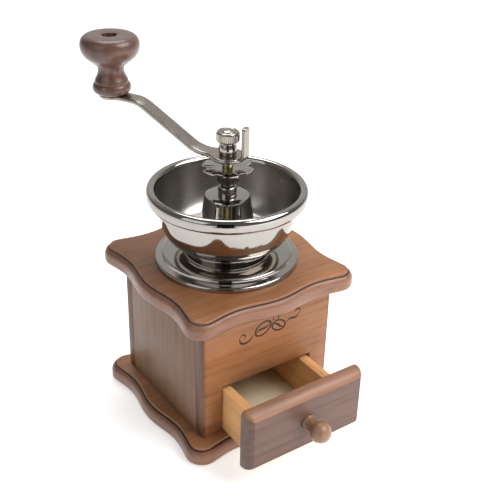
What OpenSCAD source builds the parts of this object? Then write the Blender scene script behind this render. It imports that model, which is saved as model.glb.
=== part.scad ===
// Wooden box coffee mill with a metal hopper, hand crank, conical burrs and a drawer.
// Origin: centre of the base's underside, on the shaft's axis. +Z is up and the drawer opens towards -Y.

/* [Wooden box] */
// Side of the square box body
body_w = 100; // [96:0.5:104]
// Height of the box body between the two boards
body_h = 85; // [84:0.5:90]
// Thickness of the box panels
panel_t = 8.5; // [8:0.5:9]
// Thickness of the base board and of the top board
board_t = 12; // [11.5:0.5:13]
// Mean distance from the axis to a board's inner outline
board_half = 58; // [57:0.5:60]
// Depth of the waves along a board's edge
wave_depth = 1.9; // [1:0.1:2]
// How far the bead stands out past the inner outline
bead_out = 3.5; // [3:0.1:4]

/* [Drawer] */
// Width of the drawer opening in the front panel
doorway_w = 70.4; // [68:0.2:71]
// Height of the drawer opening in the front panel
doorway_h = 35.3; // [34:0.1:36]
// How far the drawer stands open
drawer_open = 35.4; // [20:0.1:36]
// Width of the drawer front
front_w = 91; // [88:0.5:94]
// Height of the drawer front
front_h = 44.4; // [43:0.1:45]
// Thickness of the drawer front
front_t = 9.8; // [9:0.1:10]
// Length of the drawer box behind its front
drawer_l = 82; // [78:0.5:83]

/* [Hopper] */
// Outer radius of the collar on the top board
collar_r = 47.3; // [46:0.1:48]
// Outer radius of the hopper's rolled rim
rim_r = 51.9; // [51:0.1:53]
// Height of the rim above the table
rim_top = 161; // [158:0.5:162]
// Thickness of the hopper's sheet metal
sheet_t = 1.2; // [1:0.1:1.3]

/* [Crank] */
// Distance from the shaft's axis to the knob's axis
crank_l = 85.5; // [80:0.5:90]
// Direction of the crank arm, counted from +X
crank_az = 118; // [100:1:130]
// Height of the arm's top face at the hub
hub_top = 182.4; // [181.5:0.1:183]
// Height of the arm's top face under the knob
arm_top = 206.8; // [204:0.1:208]
// Thickness of the crank's steel strip
arm_t = 2.8; // [2.5:0.1:3]

/* [Hidden] */

body_z = board_t;                    // underside of the box body
top_z = body_z + body_h;             // underside of the top board
deck_z = top_z + board_t;            // upper face of the top board
half = body_w / 2;
inner_half = half - panel_t;         // half of the space inside the box
front_y = -half - drawer_open - front_t;   // front face of the drawer front
front_back_y = front_y + front_t;    // back face of the drawer front
drawer_clear = 0.6;                  // gap below the drawer
drawer_z = body_z + drawer_clear;
side_outer = doorway_w / 2 - 0.8;    // drawer side's outer face
side_t = 6.9;                        // drawer side's thickness
side_inner = side_outer - side_t;
side_top = 44.5;
floor_z = drawer_z + 1;              // underside of the drawer's floor panel
floor_t = 2.8;
groove = 3;                          // depth of the groove that holds the floor panel
knob_z = drawer_z + front_h / 2 + 0.6;     // height of the drawer knob

throat_r = 18.5;                     // bore of the outer burr
hole_r = 24;                         // hole in the top board
neck_z = deck_z + 11.4;              // top of the collar, which the hopper stands on
bowl_floor = neck_z + sheet_t;       // floor of the hopper, inside
bridge_top = 155;
bridge_r = 14.9;                     // radius of the bridge's round top
foot_r = 19;                         // radius of the bridge where its legs meet the feet
sleeve_top = 161.2;
shaft_r = 3.3;
run_gap = 0.05;                      // radial clearance of a running fit
thrust_z = 107;                      // top of the inner burr, which the spring washer rests on
star_z = 172.4;                      // underside of the star wheel
star_boss_z = 162.4;                 // underside of the star nut's boss
knob_base = arm_top + 0.4;
knob_h = 37.4;
crank_x = crank_l * cos(crank_az);
crank_y = crank_l * sin(crank_az);
screw_azimuths = [59, 179, 299];     // the three bridge feet and their screws

wood = [0.60, 0.40, 0.29];
dark_wood = [0.45, 0.33, 0.30];
pale_wood = [0.85, 0.64, 0.43];
ply = [0.80, 0.75, 0.60];
steel = [0.72, 0.70, 0.67];
dark_steel = [0.45, 0.44, 0.43];
zinc = [0.72, 0.66, 0.36];

// points of an arc in the plane, from angle a0 to a1
function arc(cx, cy, r, a0, a1, n = 8) =
    [for (i = [0 : n]) let (a = a0 + (a1 - a0) * i / n) [cx + r * cos(a), cy + r * sin(a)]];

// points of a cubic curve with end points p0, p3 and handles p1, p2
function curve(p0, p1, p2, p3, n = 10) =
    [for (i = [0 : n]) let (t = i / n, s = 1 - t)
        s * s * s * p0 + 3 * s * s * t * p1 + 3 * s * t * t * p2 + t * t * t * p3];

// unit normal to the left of a path at point i
function path_normal(p, i) =
    let (a = p[max(i - 1, 0)], b = p[min(i + 1, len(p) - 1)], d = b - a) [-d[1], d[0]] / norm(d);

// closed outline of a sheet that follows path p, t thick to the left of it
function sheet(p, t) =
    concat(p, [for (i = [len(p) - 1 : -1 : 0]) p[i] + t * path_normal(p, i)]);

// ---- scalloped boards ----

wave_end = 50;                       // where a side's wave meets the rounded corner
side_steps = 12;
corner_steps = 4;

function wave(x) = board_half + wave_depth * cos(6 * x);
function wave_slope(x) = -wave_depth * 6 * PI / 180 * sin(6 * x);
end_tilt = atan(wave_slope(wave_end));
corner_r = (wave(wave_end) - wave_end) / (sin(end_tilt) + cos(end_tilt));
corner_c = wave_end + corner_r * sin(end_tilt);

// one side's wave and the corner after it, moved out by d along its normal
function board_side(d) = concat(
    [for (i = [0 : side_steps - 1])
        let (x = wave_end - 2 * wave_end * i / side_steps, m = wave_slope(x))
        [x, wave(x)] + d * [-m, 1] / norm([m, 1])],
    [for (i = [0 : corner_steps - 1])
        let (a = 90 - end_tilt + (90 + 2 * end_tilt) * i / corner_steps)
        [-corner_c, corner_c] + (corner_r + d) * [cos(a), sin(a)]]);

// the whole outline: four sides, each a quarter turn after the last
function board_outline(d) =
    [for (k = [0 : 3]) for (p = board_side(d))
        [p[0] * cos(90 * k) - p[1] * sin(90 * k), p[0] * sin(90 * k) + p[1] * cos(90 * k)]];

// edge profile from the underside up, as [distance out, height]: foot, bead, step and top edge
bead_base = 5.6;
bead_top = 10.2;
edge_profile = concat(
    [[bead_out - 1.8, 0], [bead_out - 0.6, 0.5], [bead_out, 1.9]],
    [for (a = [0 : 22.5 : 90])
        [0.3 + (bead_out - 0.3) * cos(a), bead_base + (bead_top - bead_base) * sin(a)]],
    [[0, bead_top], [0, board_t - 0.4], [-0.5, board_t]]);

module board() {
    rings = [for (e = edge_profile) [for (p = board_outline(e[0])) [p[0], p[1], e[1]]]];
    n = len(rings[0]);
    m = len(rings);
    polyhedron(
        points = [for (r = rings) each r],
        faces = concat(
            [[for (i = [0 : n - 1]) i]],
            [for (j = [0 : m - 2]) for (i = [0 : n - 1])
                let (k = (i + 1) % n) [j * n + i, (j + 1) * n + i, (j + 1) * n + k, j * n + k]],
            [[for (i = [n - 1 : -1 : 0]) (m - 1) * n + i]]));
}

// ---- shared small shapes ----

// places its children at radius r from the axis, once for each angle
module around(r, angles) {
    for (a = angles) rotate([0, 0, a]) translate([r, 0, 0]) children();
}

// pan-head screw, head above the origin and shank below it
module pan_screw(head_r, head_h, shank_r, shank_l) {
    translate([0, 0, -shank_l]) cylinder(r = shank_r, h = shank_l + 0.2, $fn = 32);
    difference() {
        rotate_extrude($fn = 48)
            polygon(concat([[0, 0], [head_r, 0]], [for (a = [0 : 15 : 90])
                [head_r * cos(a), head_h * (0.35 + 0.65 * sin(a))]]));
        translate([-head_r, -0.4, head_h * 0.6]) cube([2 * head_r, 0.8, head_h]);
        translate([-0.4, -head_r * 0.7, head_h * 0.6]) cube([0.8, head_r * 1.4, head_h]);
    }
}

// upright plate with its two outer edges rounded; the outer face looks towards -Y
module outer_plate() {
    r = 2;
    translate([0, 0, body_z]) linear_extrude(height = body_h)
        polygon(concat(arc(-half + r, -half + r, r, 180, 270, 5), arc(half - r, -half + r, r, 270, 360, 5),
            [[half, -inner_half], [-half, -inner_half]]));
}

// ---- wooden box ----

screw_x = half - panel_t / 2;
screw_y = 28;
base_shank_r = 1.9;
base_head_r = 4;
base_screw_l = 28;

module base_screw_places() {
    for (x = [-screw_x, screw_x], y = [-screw_y, screw_y]) translate([x, y, 0]) children();
}

module base_board() {
    color(wood) difference() {
        board();
        base_screw_places() {
            translate([0, 0, -1]) cylinder(r = base_shank_r + run_gap, h = board_t + 2, $fn = 48);
            translate([0, 0, -0.01])
                cylinder(r1 = base_head_r + 0.35, r2 = base_shank_r,
                         h = base_head_r - base_shank_r + 0.5, $fn = 48);
        }
    }
}

module top_board() {
    color(wood) difference() {
        translate([0, 0, top_z]) board();
        translate([0, 0, top_z - 1]) cylinder(r = hole_r, h = board_t + 2, $fn = 96);
        around(flange_screw_r, flange_azimuths) translate([0, 0, deck_z - wood_screw_l])
            cylinder(r = wood_shank_r + run_gap, h = wood_screw_l + 1, $fn = 32);
    }
}

module front_panel() {
    color(wood) difference() {
        outer_plate();
        translate([-doorway_w / 2, -half - 1, body_z - 1]) cube([doorway_w, panel_t + 2, doorway_h + 1]);
    }
}

module back_panel() {
    color(wood) rotate([0, 0, 180]) outer_plate();
}

module side_panel() {
    difference() {
        translate([-half, -inner_half, body_z]) cube([panel_t, 2 * inner_half, body_h]);
        for (y = [-screw_y, screw_y]) translate([-screw_x, y, body_z - 1])
            cylinder(r = base_shank_r + run_gap, h = base_screw_l - board_t + 2, $fn = 48);
    }
}

module left_panel() {
    color(wood) side_panel();
}

module right_panel() {
    color(wood) mirror([1, 0, 0]) side_panel();
}

// three-cornered glue blocks that tie the panels to the top board
module corner_blocks() {
    leg = 12;
    block_h = 20;
    color(pale_wood) for (k = [0 : 3]) rotate([0, 0, 90 * k])
        translate([inner_half, inner_half, top_z - block_h]) linear_extrude(height = block_h)
            polygon([[0, 0], [-leg, 0], [0, -leg]]);
}

// strips on the base that keep the drawer straight
module drawer_guides() {
    strip_h = 8;
    strip_w = inner_half - side_outer - 0.6;
    color(pale_wood) for (side = [-1, 1])
        translate([side * (inner_half - strip_w / 2) - strip_w / 2, -inner_half, body_z])
            cube([strip_w, 2 * inner_half, strip_h]);
}

module base_screws() {
    cone_h = base_head_r - base_shank_r;
    color(steel) base_screw_places() difference() {
        union() {
            translate([0, 0, 0.3]) cylinder(r1 = base_head_r, r2 = base_shank_r, h = cone_h, $fn = 48);
            translate([0, 0, 0.3 + cone_h - 0.1])
                cylinder(r = base_shank_r, h = base_screw_l - cone_h, $fn = 48);
        }
        translate([-base_head_r * 0.7, -0.5, -0.5]) cube([base_head_r * 1.4, 1, 1.8]);
        translate([-0.5, -base_head_r * 0.7, -0.5]) cube([1, base_head_r * 1.4, 1.8]);
    }
}

// ---- hopper and its supports ----

bolt_r = 22.6;                       // circle of the bridge screws
bolt_shank_r = 1.6;
bolt_l = 13;
flange_screw_r = 30;                 // circle of the housing's wood screws
flange_azimuths = [for (a = screw_azimuths) a + 60];
flange_t = 3;
wood_shank_r = 1.6;
wood_screw_l = 9;
collar_top_r = 28.6;                 // neck of the collar
guide_z = bowl_floor;                // underside of the shaft guide
guide_t = 1.5;
feet_z = guide_z + guide_t;          // underside of the bridge feet
bridge_t = 1.5;

collar_path = concat(
    [[collar_r, deck_z]],
    arc(collar_r - 1.6, deck_z + 1.9, 1.6, 0, 70, 4),
    [[collar_r - 3.6, deck_z + 3.9], [collar_r - 4.5, deck_z + 4.3]],
    arc(collar_r - 6.3, deck_z + 5.3, 1.4, 0, 72, 4),
    curve([collar_r - 7.6, deck_z + 7.1], [collar_r - 12, deck_z + 8.3],
        [collar_top_r + 2.5, deck_z + 8.8], [collar_top_r + 0.5, neck_z - 0.9], 6),
    [[collar_top_r - 0.2, neck_z - 0.25], [collar_top_r - 1, neck_z], [throat_r + 0.5, neck_z]]);

module collar_ring() {
    color(steel) difference() {
        rotate_extrude($fn = 128) polygon(sheet(collar_path, sheet_t));
        around(bolt_r, screw_azimuths) translate([0, 0, neck_z - 3])
            cylinder(r = bolt_shank_r + 0.3, h = 6, $fn = 32);
    }
}

curl_r = rim_r - 3.1;                // centre of the rolled rim
curl_z = rim_top - sheet_t - 2.4;

bowl_path = concat(
    [[throat_r + 0.5, neck_z], [30.2, neck_z]],
    arc(30.2, neck_z + 1.5, 1.5, -70, 35, 4),
    curve([31.9, neck_z + 2.9], [41.2, neck_z + 4.6], [44.6, neck_z + 17], [46.4, neck_z + 33]),
    [for (a = [180 : -22.5 : 0]) [curl_r + 1.9 * cos(a), curl_z + 2.4 * sin(a)]],
    [[curl_r + 1.9, curl_z - 2.4], [curl_r + 1.4, curl_z - 3.8],
        [curl_r + 0.6, curl_z - 4.6], [curl_r - 0.3, curl_z - 4.7]]);

module hopper_bowl() {
    color(steel) difference() {
        rotate_extrude($fn = 128) polygon(sheet(bowl_path, sheet_t));
        around(bolt_r, screw_azimuths) translate([0, 0, neck_z - 1])
            cylinder(r = bolt_shank_r + 0.3, h = 4, $fn = 32);
    }
}

housing_bottom = 91;
housing_top = neck_z - sheet_t;
mouth_r = 17.7;                      // bore of the outer burr at its lower edge

module burr_housing() {
    lower_r = hole_r - 1.5;
    boss_r = 26;
    teeth = 18;
    color(dark_steel) difference() {
        rotate_extrude($fn = 96) polygon([
            [mouth_r, housing_bottom], [lower_r, housing_bottom], [lower_r, deck_z], [34, deck_z],
            [34, deck_z + flange_t], [boss_r, deck_z + flange_t], [boss_r, housing_top],
            [throat_r, housing_top], [throat_r, housing_bottom + 12]]);
        around(bolt_r, screw_azimuths) translate([0, 0, deck_z + 1])
            cylinder(r = bolt_shank_r + run_gap, h = 12, $fn = 32);
        around(flange_screw_r, flange_azimuths) translate([0, 0, deck_z - 1])
            cylinder(r = wood_shank_r + 0.4, h = flange_t + 2, $fn = 32);
        for (i = [0 : teeth - 1]) rotate([0, 0, i * 360 / teeth])
            translate([mouth_r - 0.2, 0, housing_bottom - 1]) rotate([0, 2, 0]) rotate([0, 0, 45])
                translate([-0.8, -0.8, 0]) cube([1.6, 1.6, 14]);
    }
}

module housing_screws() {
    color(steel) around(flange_screw_r, flange_azimuths) translate([0, 0, deck_z + flange_t])
        pan_screw(3.1, 2, wood_shank_r, flange_t + wood_screw_l - 0.5);
}

bridge_path = concat(
    [[4.45, bridge_top - bridge_t], [bridge_r - 2.4, bridge_top - bridge_t],
        [bridge_r - 1.75, bridge_top - bridge_t - 0.25], [bridge_r - 1.45, bridge_top - bridge_t - 0.9]],
    arc(foot_r + 1.2, feet_z + 2.6, 2.6, 190, 270, 4),
    [[26.8, feet_z]]);

module bridge() {
    leg_half_angle = 28;
    reach = 40;
    color(steel) difference() {
        rotate_extrude($fn = 96) polygon(sheet(bridge_path, bridge_t));
        for (a = screw_azimuths) rotate([0, 0, a + 60]) translate([0, 0, feet_z - 1])
            linear_extrude(height = bridge_top - bridge_t - feet_z + 0.4)
                polygon([[1, 0], reach * [cos(60 - leg_half_angle), sin(60 - leg_half_angle)],
                    reach * [cos(60 - leg_half_angle), -sin(60 - leg_half_angle)]]);
        around(bolt_r, screw_azimuths) translate([0, 0, feet_z - 1])
            cylinder(r = bolt_shank_r + 0.2, h = 4, $fn = 32);
    }
}

module bridge_screws() {
    color(steel) around(bolt_r, screw_azimuths) translate([0, 0, feet_z + bridge_t])
        pan_screw(2.9, 1.9, bolt_shank_r, bolt_l);
}

module bearing_sleeve() {
    collar_h = sleeve_top - bridge_top;
    color(steel) difference() {
        union() {
            rotate_extrude($fn = 64) polygon([[0, bridge_top], [6.05, bridge_top],
                [6.05, sleeve_top - 1.3], [5.8, sleeve_top - 0.9], [5.1, sleeve_top], [0, sleeve_top]]);
            translate([0, 0, bridge_top - bridge_t - 1]) cylinder(r = 4.4, h = bridge_t + 1.1, $fn = 64);
        }
        translate([0, 0, bridge_top - bridge_t - 2])
            cylinder(r = shaft_r + run_gap, h = collar_h + bridge_t + 4, $fn = 64);
    }
}

// three-armed plate under the bridge feet that steadies the shaft
module shaft_guide() {
    arm_w = 7;
    color(steel) translate([0, 0, guide_z]) difference() {
        union() {
            cylinder(r = 7.5, h = guide_t, $fn = 64);
            for (a = screw_azimuths) rotate([0, 0, a]) translate([0, -arm_w / 2, 0])
                cube([26.6, arm_w, guide_t]);
        }
        translate([0, 0, -1]) cylinder(r = shaft_r + run_gap, h = guide_t + 2, $fn = 64);
        around(bolt_r, screw_azimuths) translate([0, 0, -1])
            cylinder(r = bolt_shank_r + 0.2, h = guide_t + 2, $fn = 32);
    }
}

// ---- rotor ----

washer_t = 1.4;
thread_r = 2.6;                      // upper end of the shaft
hub_z = hub_top - arm_t;             // underside of the crank's hub
burr_bottom = 92;
nut_t = 5;

// compression spring between the shaft guide and the spring washer
module burr_spring() {
    turns = 4;
    wire_r = 0.7;
    coil_r = 5.6;
    steps = 14;
    sides = 6;
    low = thrust_z + washer_t + wire_r;
    rise = guide_z - wire_r - low;
    n = turns * steps;
    pts = [for (i = [0 : n]) for (k = [0 : sides - 1])
        let (a = 360 * i / steps, b = 360 * k / sides, r = coil_r + wire_r * cos(b))
        [r * cos(a), r * sin(a), low + rise * i / n + wire_r * sin(b)]];
    color(steel) polyhedron(points = pts, faces = concat(
        [[for (k = [0 : sides - 1]) k]],
        [for (i = [0 : n - 1]) for (k = [0 : sides - 1]) let (m = (k + 1) % sides)
            [i * sides + k, (i + 1) * sides + k, (i + 1) * sides + m, i * sides + m]],
        [[for (k = [sides - 1 : -1 : 0]) n * sides + k]]));
}

module spring_washer() {
    color(steel) translate([0, 0, thrust_z]) difference() {
        cylinder(r = 8, h = washer_t, $fn = 64);
        translate([0, 0, -1]) cylinder(r = shaft_r + run_gap, h = washer_t + 2, $fn = 64);
    }
}

module shaft() {
    bottom = burr_bottom - washer_t - nut_t - 2;
    color(zinc) {
        translate([0, 0, bottom]) cylinder(r = shaft_r, h = hub_z - bottom, $fn = 64);
        translate([0, 0, hub_z - 0.5]) cylinder(r = thread_r, h = 0.5 + arm_t + 11.5, $fn = 48);
    }
}

module inner_burr() {
    flutes = 6;
    teeth = 24;
    burr_r = 16.4;
    top_r = 7;
    color(dark_steel) difference() {
        rotate_extrude($fn = 96) polygon([[0, burr_bottom], [burr_r - 1, burr_bottom],
            [burr_r, burr_bottom + 1.2], [burr_r - 0.6, burr_bottom + 4], [top_r + 1, thrust_z - 1.5],
            [top_r, thrust_z], [0, thrust_z]]);
        translate([0, 0, burr_bottom - 1]) cylinder(r = shaft_r + 0.02, h = 40, $fn = 64);
        for (i = [0 : flutes - 1]) rotate([0, 0, i * 360 / flutes])
            translate([burr_r + 0.6, 0, burr_bottom + 2.6])
                rotate([22, -32, 0]) cylinder(r = 2.1, h = 26, $fn = 32);
        for (i = [0 : teeth - 1]) rotate([0, 0, (i + 0.5) * 360 / teeth])
            translate([burr_r + 0.35, 0, burr_bottom - 2])
                rotate([20, -4, 0]) cylinder(r = 0.8, h = 8, $fn = 24);
    }
}

module burr_washer() {
    color(steel) translate([0, 0, burr_bottom - washer_t]) difference() {
        cylinder(r = 9, h = washer_t, $fn = 64);
        translate([0, 0, -1]) cylinder(r = shaft_r + 0.02, h = washer_t + 2, $fn = 64);
    }
}

module burr_nut() {
    color(steel) translate([0, 0, burr_bottom - washer_t - nut_t]) difference() {
        cylinder(r = 6.4, h = nut_t, $fn = 6);
        translate([0, 0, -1]) cylinder(r = shaft_r + 0.02, h = nut_t + 2, $fn = 64);
    }
}

// toothed wheel on a threaded boss, which sets how high the inner burr hangs
module star_nut() {
    star_r = 16.4;
    star_t = 1.4;
    petals = 6;
    petal_half = 16.5;               // half the angle that one petal takes up
    notch_depth = 2.9;
    notch_floor_half = 9;            // half the angle of a notch's floor
    first_petal = 4.5;               // direction of a petal's middle, from +X
    step = 360 / petals;
    outline = [for (i = [0 : petals - 1]) let (a = first_petal + i * step) each concat(
        [for (b = [-petal_half : petal_half / 3 : petal_half]) star_r * [cos(a + b), sin(a + b)]],
        [for (b = [-notch_floor_half, 0, notch_floor_half])
            (star_r - notch_depth) * [cos(a + step / 2 + b), sin(a + step / 2 + b)]])];
    color(steel) difference() {
        union() {
            translate([0, 0, star_z]) linear_extrude(height = star_t) polygon(outline);
            translate([0, 0, star_boss_z]) rotate_extrude($fn = 64)
                polygon([[0, 0], [5.2, 0], [5.7, 0.5], [5.7, 1.1], [6.7, 1.9],
                         [6.7, star_z - star_boss_z - 0.6],
                    [7.3, star_z - star_boss_z + 0.1], [0, star_z - star_boss_z + 0.1]]);
        }
        translate([0, 0, star_boss_z - 1]) cylinder(r = shaft_r + run_gap, h = 14, $fn = 64);
    }
}

// ---- crank ----

strip_half = 5.7;                    // half the width of the crank's strip
hub_r = 11.2;
end_r = 8.6;
tab_half = 3.5;
tab_out = 13.6;                      // outer face of the upturned tab
tab_top = 202;
rise_angle = 30;                     // slope of the arm between its two bends
hub_bend_s = 14.8;                   // where the arm starts to rise
hub_bend_r = 26;
end_bend_r = 18;
end_z = arm_top - arm_t;
end_bend_s = hub_bend_s + hub_bend_r * sin(rise_angle) + end_bend_r * sin(rise_angle)
    + (end_z - hub_z - (hub_bend_r + end_bend_r) * (1 - cos(rise_angle))) / tan(rise_angle);

// underside of the strip seen from the side: tab, hub, rising arm and level end
crank_path = concat(
    [[-tab_out - 1, tab_top]],
    arc(-tab_out + 4.3, hub_z + 4.3, 4.3, 183, 270, 5),
    arc(hub_bend_s, hub_z + hub_bend_r, hub_bend_r, 270, 270 + rise_angle, 5),
    arc(end_bend_s, end_z - end_bend_r, end_bend_r, 90 + rise_angle, 90, 5),
    [[crank_l + end_r + 1, end_z]]);

hub_fillet = 9;
end_fillet = 12;

// how far from a disc of radius r its fillet meets the straight strip, and the angle of that fillet
function fillet_reach(r, f) = sqrt(pow(r + f, 2) - pow(strip_half + f, 2));
function fillet_angle(r, f) = atan2(strip_half + f, fillet_reach(r, f));

// one long edge of the arm seen from above: tab, hub disc, fillet, strip, fillet and end disc
crank_edge = concat(
    [[-20, tab_half]],
    arc(0, 0, hub_r, 180 - asin(tab_half / hub_r), fillet_angle(hub_r, hub_fillet), 12),
    arc(fillet_reach(hub_r, hub_fillet), strip_half + hub_fillet, hub_fillet,
        180 + fillet_angle(hub_r, hub_fillet), 270, 6),
    arc(crank_l - fillet_reach(end_r, end_fillet), strip_half + end_fillet, end_fillet,
        270, 360 - fillet_angle(end_r, end_fillet), 5),
    arc(crank_l, 0, end_r, 180 - fillet_angle(end_r, end_fillet), 0, 12));

module crank_arm() {
    color(steel) rotate([0, 0, crank_az]) difference() {
        intersection() {
            rotate([90, 0, 0]) translate([0, 0, -20]) linear_extrude(height = 40)
                polygon(sheet(crank_path, arm_t));
            translate([0, 0, hub_z - 5]) linear_extrude(height = 60)
                polygon(concat(crank_edge, [for (i = [len(crank_edge) - 2 : -1 : 0])
                    [crank_edge[i][0], -crank_edge[i][1]]]));
        }
        translate([0, 0, hub_z - 5]) cylinder(r = thread_r + 0.02, h = 12, $fn = 48);
        translate([crank_l, 0, end_z - 5]) cylinder(r = pin_r + 0.02, h = 12, $fn = 48);
    }
}

cap_profile = [[5.3, 0], [5.6, 1], [5.9, 3.2], [5.6, 5.6], [4.95, 7.6], [5.2, 8.3], [6.7, 8.8], [7.1, 9.4],
    [7.1, 14.2], [6.8, 14.9], [5.9, 15.3], [5.3, 14.9], [4.7, 14.9], [4, 15.5], [2.5, 16.1], [0, 16.4]];

module cap_nut() {
    ridges = 36;
    color(steel) translate([0, 0, hub_top]) difference() {
        union() {
            rotate_extrude($fn = 64) polygon(concat([[0, 0]], cap_profile));
            translate([0, 0, 9.4]) linear_extrude(height = 4.8)
                polygon([for (i = [0 : 2 * ridges - 1]) let (r = i % 2 == 0 ? 7.4 : 7.05)
                    r * [cos(180 * i / ridges), sin(180 * i / ridges)]]);
        }
        translate([0, 0, -1]) cylinder(r = thread_r + 0.02, h = 13, $fn = 48);
    }
}

// ---- knob on the crank ----

pin_r = 2.5;                         // riveted end of the knob's screw
shoulder_r = 3;
bush_r = 4.2;
bush_l = 30.4;
head_recess_r = 4.8;

knob_profile = concat(
    [[0, 0], [9.8, 0], [11.3, 0.7], [12.2, 2], [12.4, 3.4], [12.1, 5.2], [11.3, 6.5], [10.8, 6.8],
        [10.9, 7.3], [10.7, 8.2]],
    curve([10.3, 9.2], [8.2, 13], [7.9, 15.4], [9.2, 18.6], 6),
    [[9.7, 19.1], [10.9, 19.5], [11.6, 20], [12, 20.7]],
    curve([13, 21.4], [17, 23.6], [19.4, 28], [18.8, 32], 7),
    curve([18.6, 33.2], [17.8, 36], [16, 37.2], [13.6, knob_h], 5),
    [[0, knob_h]]);

module crank_knob() {
    color(dark_wood) translate([crank_x, crank_y, knob_base]) difference() {
        rotate_extrude($fn = 96) polygon(knob_profile);
        translate([0, 0, -1]) cylinder(r = bush_r, h = 40, $fn = 64);
        translate([0, 0, bush_l]) cylinder(r = head_recess_r, h = 20, $fn = 64);
    }
}

module knob_bush() {
    color(zinc) translate([crank_x, crank_y, knob_base]) difference() {
        cylinder(r = bush_r - 0.02, h = bush_l, $fn = 64);
        translate([0, 0, -1]) cylinder(r = shoulder_r + run_gap, h = bush_l + 2, $fn = 64);
    }
}

module knob_screw() {
    head_z = knob_base + bush_l + 0.4;
    head_r = 4.3;
    head_h = 2.6;
    color(zinc) translate([crank_x, crank_y, 0]) difference() {
        union() {
            translate([0, 0, end_z]) mirror([0, 0, 1]) rotate_extrude($fn = 48)
                polygon(concat([[0, 0]], [for (a = [0 : 18 : 90]) [4 * cos(a), 1.4 * sin(a)]]));
            translate([0, 0, end_z - 0.1]) cylinder(r = pin_r, h = arm_t + 0.2, $fn = 48);
            translate([0, 0, arm_top]) cylinder(r = shoulder_r, h = head_z - arm_top + 0.1, $fn = 48);
            translate([0, 0, head_z]) cylinder(r = head_r, h = head_h, $fn = 48);
        }
        translate([-5, -0.6, head_z + head_h - 1]) cube([10, 1.2, 2]);
    }
}

// ---- drawer ----

// rectangle with rounded corners, centred on the drawer front and inset by d
function front_outline(d) =
    let (w = front_w / 2 - d, h = front_h / 2 - d, r = max(3.2 - d * 0.4, 1))
    concat(arc(w - r, h - r, r, 0, 90, 3), arc(-w + r, h - r, r, 90, 180, 3),
        arc(-w + r, -h + r, r, 180, 270, 3), arc(w - r, -h + r, r, 270, 360, 3));

module drawer_front() {
    round_r = 9.2;                   // radius of the front edges' rounding
    round_end = 58;                  // angle where the rounding meets the front face at a crisp line
    back_round = 1;
    slab = 0.01;
    levels = concat([[0, back_round], [back_round, 0]], [for (a = [0 : round_end / 5 : round_end + 0.1])
        [front_t - slab - round_r * (sin(round_end) - sin(a)), round_r * (1 - cos(a))]]);
    color(dark_wood) difference() {
        translate([0, front_back_y, drawer_z + front_h / 2]) rotate([90, 0, 0]) hull()
            for (e = levels) translate([0, 0, e[0]]) linear_extrude(height = slab)
                polygon(front_outline(e[1]));
        translate([0, front_back_y + 1, knob_z]) rotate([90, 0, 0])
            cylinder(r = knob_screw_r + run_gap, h = front_t + 2, $fn = 32);
    }
}

module drawer_side() {
    difference() {
        translate([side_inner, front_back_y, drawer_z]) cube([side_t, drawer_l, side_top - drawer_z]);
        translate([side_inner - 1, front_back_y - 1, floor_z])
            cube([groove + 1, drawer_l + 1 - side_t + groove, floor_t]);
    }
}

module drawer_left_side() {
    color(pale_wood) mirror([1, 0, 0]) drawer_side();
}

module drawer_right_side() {
    color(pale_wood) drawer_side();
}

module drawer_back() {
    color(pale_wood) difference() {
        translate([-side_inner, front_back_y + drawer_l - side_t, drawer_z])
            cube([2 * side_inner, side_t, side_top - drawer_z]);
        translate([-side_inner - 1, front_back_y + drawer_l - side_t - 1, floor_z])
            cube([2 * side_inner + 2, groove + 1, floor_t]);
    }
}

module drawer_bottom() {
    play = 0.15;
    color(ply) translate([-side_inner - groove + play, front_back_y, floor_z + play / 2])
        cube([2 * (side_inner + groove - play), drawer_l - side_t + groove - play, floor_t - play]);
}

knob_screw_r = 1.9;
knob_screw_reach = 12;               // how far the screw goes into the drawer knob

module drawer_knob() {
    color(wood) translate([0, front_y, knob_z]) rotate([90, 0, 0]) difference() {
        rotate_extrude($fn = 64) polygon(concat(
            [[0, 0], [5.2, 0], [5.4, 0.8], [4.9, 1.8]],
            curve([4.6, 2.4], [4.1, 4.4], [4, 6], [4.8, 7.8], 5),
            curve([5.4, 8.4], [7.8, 10], [7.6, 14.4], [4.6, 17.2], 8),
            [[3, 18.1], [1.4, 18.6], [0, 18.7]]));
        translate([0, 0, -1]) cylinder(r = knob_screw_r + run_gap, h = knob_screw_reach + 1.5, $fn = 32);
    }
}

module drawer_knob_screw() {
    color(steel) translate([0, front_back_y, knob_z]) rotate([-90, 0, 0])
        pan_screw(3.6, 2.2, knob_screw_r, front_t + knob_screw_reach);
}

base_board();
front_panel();
left_panel();
right_panel();
back_panel();
top_board();
corner_blocks();
drawer_guides();
base_screws();
collar_ring();
hopper_bowl();
burr_housing();
housing_screws();
bridge();
bridge_screws();
bearing_sleeve();
shaft_guide();
burr_spring();
spring_washer();
shaft();
inner_burr();
burr_washer();
burr_nut();
star_nut();
crank_arm();
cap_nut();
knob_screw();
knob_bush();
crank_knob();
drawer_front();
drawer_left_side();
drawer_right_side();
drawer_back();
drawer_bottom();
drawer_knob();
drawer_knob_screw();
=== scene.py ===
"""Looks of a wooden box coffee mill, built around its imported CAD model."""
import math

import bmesh
import bpy
from mathutils import Matrix, Vector


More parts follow.
